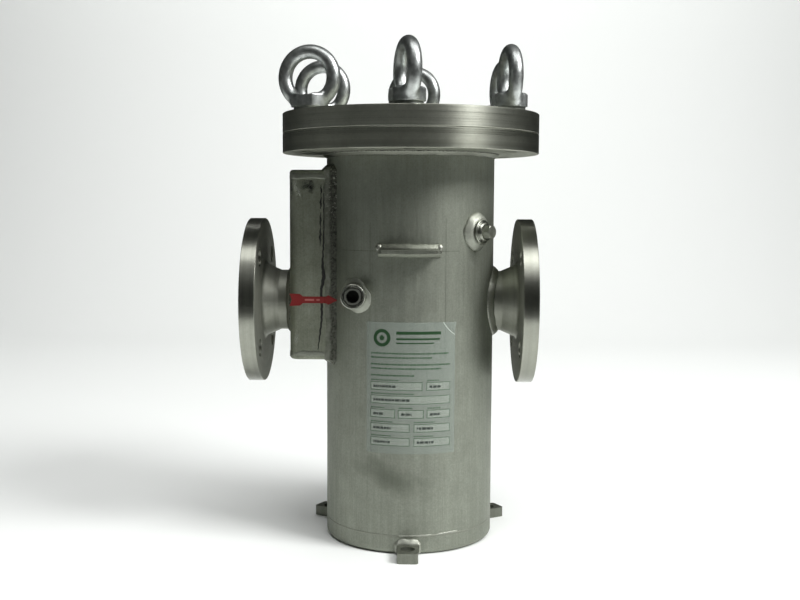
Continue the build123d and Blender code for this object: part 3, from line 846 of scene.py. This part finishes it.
# Soot smudged by hand near the top of the chamber's front, and pale smears beside it.
def smear(name, colour, opacity, spots):
    """Thin blots on the chamber's front: (x, z, half width, half height, lean). Each is a
    disc of a middle and two rings, and its attribute edge goes from 0 out to 1."""
    material, tree = new_material(name)
    edge = add(tree, "Attribute", attribute_name="edge").outputs["Fac"]
    uneven = add(tree, "MapRange", [cloudy(tree, 5, 4, 0.7), 0.3, 0.7, -0.45, 0.45])
    film = add(tree, "MapRange", [add(tree, "Math", [edge, uneven]), 0.1, 0.9, opacity, 0])
    surface(tree, {"Base Color": linear(colour), "Roughness": 0.7, "Alpha": film})
    k = np.arange(24)
    turn = np.concatenate(([0], all_round(24), all_round(24)))
    share = np.repeat([0, 0.5, 1], [1, 24, 24])
    middle = np.stack((0 * k, 1 + k, 1 + np.roll(k, -1)), 1)
    faces = [*middle, *(grid_faces(2, 24, round_columns=True)[:, [0, 3, 2, 1]] + 1)]
    blots = []
    for x, z, wide, high, lean in spots:
        up = share * high * np.sin(turn)
        across = x + share * wide * np.cos(turn) + lean * up
        blots.append((np.stack((across, 0 * up - chamber_half - 0.08, z + up), 1), faces))
    made = mesh_object(name, *joined(blots), [material])
    edges = made.data.attributes.new("edge", "FLOAT", "POINT")
    edges.data.foreach_set("value", np.tile(share, len(spots)))
    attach(made, "vessel")


soot = [(-101, 353, 8, 5.5, 0.3), (-97, 351, 5, 7, 0), (-81.5, 352, 3, 8, 0.1)]
soot.append((-115.3, 350, 1.8, 12, 0))
smear("chamber_soot", "#20211c", 0.85, soot)
chalk = [(-111, 351, 3.8, 8, -0.1), (-108, 345, 3, 7, -0.4), (-111, 204, 3, 8, 0)]
smear("chamber_chalk", "#b4b7ab", 0.38, chalk)

# The chamber's end plates are welded on flush.
for end, height in (("top", chamber_high - plate_thick), ("bottom", chamber_low + plate_thick)):
    bead(
        f"chamber_{end}_weld",
        chamber_rim(-1.5, height),
        chamber_rim(0, height - 3.2),
        chamber_rim(0, height + 2.6),
        0.35,
        weld_flush,
        closed=False,
        pitch=2.4,
        ragged=0.2,
    )

# Nozzle necks: round the chamber's flat side, and on the saddle of the shell.
def nozzle_circle(radius, x=None):
    """A circle round the nozzle axis, at x or laid on the shell."""
    turn = all_round(480)
    y, z = radius * np.cos(turn), nozzle_height + radius * np.sin(turn)
    x = np.sqrt(shell_radius ** 2 - y ** 2) if x is None else x + 0 * y
    return np.stack((x, y, z), 1)


neck_radius = 30.15
bead(
    "inlet_neck_weld",
    nozzle_circle(neck_radius, -chamber_reach),
    nozzle_circle(neck_radius, -chamber_reach - 5),
    nozzle_circle(35.4, -chamber_reach),
    0.6,
    weld_dull,
)
outlet_saddle = nozzle_circle(neck_radius)
bead(
    "outlet_neck_weld",
    outlet_saddle,
    outlet_saddle + (5.5, 0, 0),
    nozzle_circle(35.6),
    0.5,
    weld_bright,
    ripple=0.3,
)

# Port sockets: a wide pad round each. The high one is 50 degrees right of the front.
socket_radius, socket_face, upper_port_turn = 11.75, 92.5, math.radians(50)
port_turn = all_round(240)
port_cos, port_sin = np.cos(port_turn), np.sin(port_turn)


def front_disc(radius):
    """A circle round the low port, seen from the front and laid on the shell."""
    across = lower_port_x + radius * port_cos
    front = -np.sqrt(shell_radius ** 2 - across ** 2)
    return np.stack((across, front, lower_port_height + radius * port_sin), 1)


# The low one is heaped in two lobes, above and at the lower right, and is thin between.
lobes = np.zeros_like(port_turn)
for middle, spread, reach in ((88, 44, 3.8), (-38, 62, 5.4)):
    off = (port_turn - math.radians(middle) + math.pi) % (2 * math.pi) - math.pi
    lobes += reach * np.exp(-((off / math.radians(spread)) ** 4))
lower_root = front_disc(socket_radius)
bead(
    "lower_port_weld",
    lower_root,
    front_disc(13.0 + lobes),
    lower_root - np.outer(1.2 + 0.4 * lobes, (0, 1, 0)),
    0.5,
    weld_pad,
    pitch=9,
    ripple=0.05,
    ragged=0.08,
)


def upper_disc(radius, lift=0.0):
    """A circle round the high port, laid on the shell and lifted off it."""
    along = shell_radius * upper_port_turn
    return on_shell(along + radius * port_cos, upper_port_height + radius * port_sin, lift)


bead(
    "upper_port_weld",
    upper_disc(socket_radius),
    upper_disc(18.5),
    upper_disc(socket_radius, 6.5),
    0.7,
    weld_pad,
    pitch=11,
    ripple=0.1,
    ragged=0.08,
)


# Bracket: welded all round its root, with the run heaped up at the two ends.
corners = [(-29, 289.5), (29, 289.5), (29, 292.5), (-29, 292.5), (-29, 289.5)]
wider_corners = [(-29.5, 285), (29.5, 285), (30.6, 298.4), (-30.6, 298.4), (-29.5, 285)]
at = np.linspace(0, 4, 240, endpoint=False)
root_arc, root_height = resampled(corners, at).T
bead(
    "bracket_weld",
    on_shell(root_arc, root_height, 0.1),
    on_shell(*resampled(wider_corners, at).T),
    on_shell(root_arc, root_height, 4.0),
    0.7,
    weld_grey,
    pitch=5,
    ripple=0.1,
    ragged=0.06,
)
heap_size = (3.6, 3.2, 4.2)
heap_points, heap_faces = skin(
    lambda p: np.sqrt(((p / heap_size) ** 2).sum(-1)) * 3.2 - 3.2, (-5,) * 3, (5,) * 3, 0.6
)
for side, along in (("left", -28.6), ("right", 28.6)):
    points = heap_points + on_shell(along, 293.6, 0.9)
    lump = mesh_object(f"bracket_weld_end_{side}", points, heap_faces, [weld_bright])
    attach(lump, "vessel")

# Foot lugs: over the top and down both sides.
root = [(-10.2, 1), (-10.2, 9.6), (-9.8, 10), (9.8, 10), (10.2, 9.6), (10.2, 1)]
toe = [(-13, 1.5), (-13, 11), (-9, 15.5), (9, 15.5), (13, 11), (13, 1.5)]
at = np.linspace(0, 5, 120)
root_arc, root_height, toe_arc, toe_height = *resampled(root, at).T, *resampled(toe, at).T
for side, lug_angle in (("front", 0), ("right", 120), ("left", -120)):
    shift = shell_radius * math.radians(lug_angle)
    bead(
        f"foot_lug_{side}_weld",
        on_shell(shift + root_arc, root_height),
        on_shell(shift + toe_arc, toe_height),
        on_shell(shift + root_arc, root_height, 3.6),
        0.6,
        weld_pad,
        closed=False,
        pitch=5.0,
        ripple=0.1,
        ragged=0.12,
    )

# Upper port plug
# The thread that stands out of the socket, between its face and the hexagon.
thread, thread_faces = threaded_rod(8.6, 0.7, 1.3, 3.6, 0.5, 60)
sine, cosine = math.sin(upper_port_turn), math.cos(upper_port_turn)
axes = np.array([(cosine, sine, 0), (0, 0, 1), (sine, -cosine, 0)])
points = thread @ axes + socket_face * axes[2] + (0, 0, upper_port_height)
plug_thread = mesh_object("upper_port_plug_thread", points, thread_faces, [fitting_steel], 35)
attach(plug_thread, "vessel")


# Scribed lines
# Fine marking-out lines scratched on the shell: one level, at the bracket, and two upright.
scratch = plain("scribed line", "#5f6258", 0.5, 1.0)
scratches = (
    ((-74, 290.9), (-31, 290.9)),
    ((31, 290.9), (50, 290.9)),
    ((35.4, 190), (35.4, 322)),
    ((-38.5, 214), (-38.5, 318)),
)
strips = []
for start, stop in scratches:
    arc, height = (np.linspace(start[k], stop[k], 30) for k in (0, 1))
    aside, down = (0, 0.14) if start[1] == stop[1] else (0.14, 0)
    edges = [on_shell(arc + k * aside, height - k * down, 0.03) for k in (1, -1)]
    strips.append(ribbon(*edges))
scribed = mesh_object("scribed_lines", *joined(strips), [scratch])
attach(scribed, "vessel")


# Rating label
# A thin frosted foil on the front. It carries no words: a green ring, rows of short
# dashes where print would be, and ruled boxes with a dark dash or two in each.
def thin_print(name, colour, rough, opacity):
    """Foil or ink with a soft sheen, partly clear where opacity is below one."""
    return plain(name, colour, rough, 0.0, opacity, 12, 0.06)


label_inks = [
    thin_print("frosted clear foil", "#a3aea5", 0.4, 0.42),
    thin_print("green ink", "#17401b", 0.5, 0.95),
    thin_print("soft green ink", "#3f5f42", 0.5, 0.8),
    thin_print("dark ink", "#2e3632", 0.5, 0.9),
    thin_print("pale field of the foil", "#c3ccc0", 0.45, 0.3),
    # A painted highlight for the bend of the lifted corner.
    thin_print("painted highlight on the lifted foil", "#d4dcd2", 0.35, 0.8),
]
frosted, green, soft, dark, pale_field, crease = range(6)
label_strips, label_layers = [], []


def label_patch(low, high, layer, lift):
    """A strip of the label between two lines of (arc, height) points, raised by lift; the
    foil peels off at its upper right corner."""
    edges = []
    for line in (low, high):
        arc, height = np.array(line, float).T
        peel = np.maximum(0.0, (arc - 37) / 9 + (height - 214) / 10 - 0.85) ** 2 * 1.6
        edges.append(on_shell(arc, height, lift + peel))
    label_strips.append(ribbon(*edges))
    label_layers.extend([layer] * (len(low) - 1))


def label_box(left, low, right, high, layer, lift=0.16):
    """A filled rectangle on the label, bent round the shell."""
    arcs = np.linspace(left, right, max(int((right - left) / 2), 1) + 1)
    label_patch([(a, low) for a in arcs], [(a, high) for a in arcs], layer, lift)


def label_frame(left, low, right, high, width=0.45):
    """A ruled box drawn with four thin strokes."""
    label_box(left, low, right, low + width, soft)
    label_box(left, high - width, right, high, soft)
    label_box(left, low, left + width, high, soft)
    label_box(right - width, low, right, high, soft)


def dashes(left, right, low, height, layer, longest=3.2):
    """A row of short strokes of uneven length, in place of a line of print."""
    at = left
    while at < right - 0.8:
        end = min(at + rng.uniform(0.9, longest), right)
        label_box(at, low, end, low + height, layer)
        at = end + rng.uniform(0.5, 0.9)


label_left, label_right, label_low, label_high = -42.0, 46.0, 98, 224
rows = np.linspace(label_low, label_high, 17)
for low, high in zip(rows[:-1], rows[1:]):
    label_box(label_left, low, label_right, high, frosted, 0.1)
# A green ring with a dot in it.
a = np.linspace(0, 2 * math.pi, 49)
around = np.stack((np.sin(a), np.cos(a)), 1)
for radius_in, radius_out in ((5.2, 8.4), (0.05, 2.4)):
    label_patch(*((-26, 209) + radius * around for radius in (radius_in, radius_out)), green, 0.16)
label_box(-12, 212.5, 31, 215.3, green)
label_box(-12, 207.3, 30, 209.0, green)
label_box(-12, 203.6, 24, 204.7, green)
for right, low in ((40, 193.5), (22, 189.5), (41, 183), (31, 179), (5, 172.5)):
    dashes(-37, right, low, 1.5, soft)
for low, fields in (
    (159, ((-37.5, 13), (17, 41))),
    (146, ((-37.5, 41),)),
    (132.5, ((-37.5, -13), (-10, 14.5), (17.5, 41))),
    (119, ((-37.5, 1), (5, 41))),
    (105.5, ((-37.5, 1), (5, 41))),
):
    for left, right in fields:
        wide, high = right - left, low + 8
        label_box(left, low, right, high, pale_field, 0.13)
        label_frame(left, low, right, high)
        dashes(left + 0.5, left + 0.5 + 0.55 * wide, high + 1.2, 1.0, soft, 2.4)
        dashes(left + 3, left + 3 + 0.45 * wide, low + 2.6, 2.2, dark, 4.0)
# A pale strip along the bend of the lifted corner is a painted highlight.
t = np.linspace(0, 1, 16)
crease_line = np.stack((33.2 + 12.4 * t, 223.6 - 12 * t - 1.6 * np.sin(math.pi * t)), 1)
label_patch(crease_line, crease_line + 0.5, crease, 0.2)
label = mesh_object("rating_label", *joined(label_strips), label_inks, 60)
label.data.polygons.foreach_set("material_index", label_layers)
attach(label, "vessel")

# Flow arrow
# A red foil arrow with a notched tail on the chamber's front, its point laid over the weld
# and the edge of the shell.
arrow_red = thin_print("red foil", "#74100e", 0.5, 1.0)
arrow_pale = thin_print("pale stripe on the red foil", "#a8605c", 0.5, 1.0)
arrow_height = 241.2
weld_points = np.array([v.co for v in bpy.data.objects["chamber_weld"].data.vertices]) * 1000
weld_points = weld_points[(np.abs(weld_points[:, 2] - 241) < 8) & (weld_points[:, 1] < 0)]


def arrow_front(x):
    """Just in front of the chamber's flat face, of the shell and of the weld between them."""
    beside = weld_points[np.abs(weld_points[:, 0] - x) < 1.3, 1]
    shell_front = math.sqrt(shell_radius ** 2 - x ** 2) if abs(x) < corner_x else 0
    return min([-chamber_half - 0.15, -shell_front - 0.15, *(beside - 0.12)])


# Each station is (x, half height); the foil's red is layer 0 and its stripes are layer 1.
arrow_shape = [(-117.5, 6.1), (-107.5, 5.7), (-104.5, 3.3)]
arrow_shape += [(-82, 3.2), (-79.4, 4.6), (-70.6, 0.2)]
arrow_strips, arrow_layers = [], []
for layer, lift, notch, stations in (
    (0, 0.0, 2.0, arrow_shape),
    (1, 0.12, 0.0, [(-102.6, 0.9), (-93.5, 0.9)]),
    (1, 0.12, 0.0, [(-91.2, 0.8), (-88, 0.8)]),
):
    for start, stop in zip(stations[:-1], stations[1:]):
        columns = max(int((stop[0] - start[0]) / 0.8), 1)
        x, half = (np.linspace(start[k], stop[k], columns + 1) for k in (0, 1))
        front = np.array([arrow_front(place) for place in x]) - lift
        inward = np.linspace(notch, 0, columns + 1) if start == stations[0] else 0
        middle = np.stack((x + inward, front, arrow_height + 0 * x), 1)
        low, high = (np.stack((x, front, arrow_height + k * half), 1) for k in (-1, 1))
        arrow_strips.append(ribbon(low, middle, high))
        arrow_layers += [layer] * (2 * columns)
arrow = mesh_object("flow_arrow", *joined(arrow_strips), [arrow_red, arrow_pale], 60)
arrow.data.polygons.foreach_set("material_index", arrow_layers)
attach(arrow, "vessel")
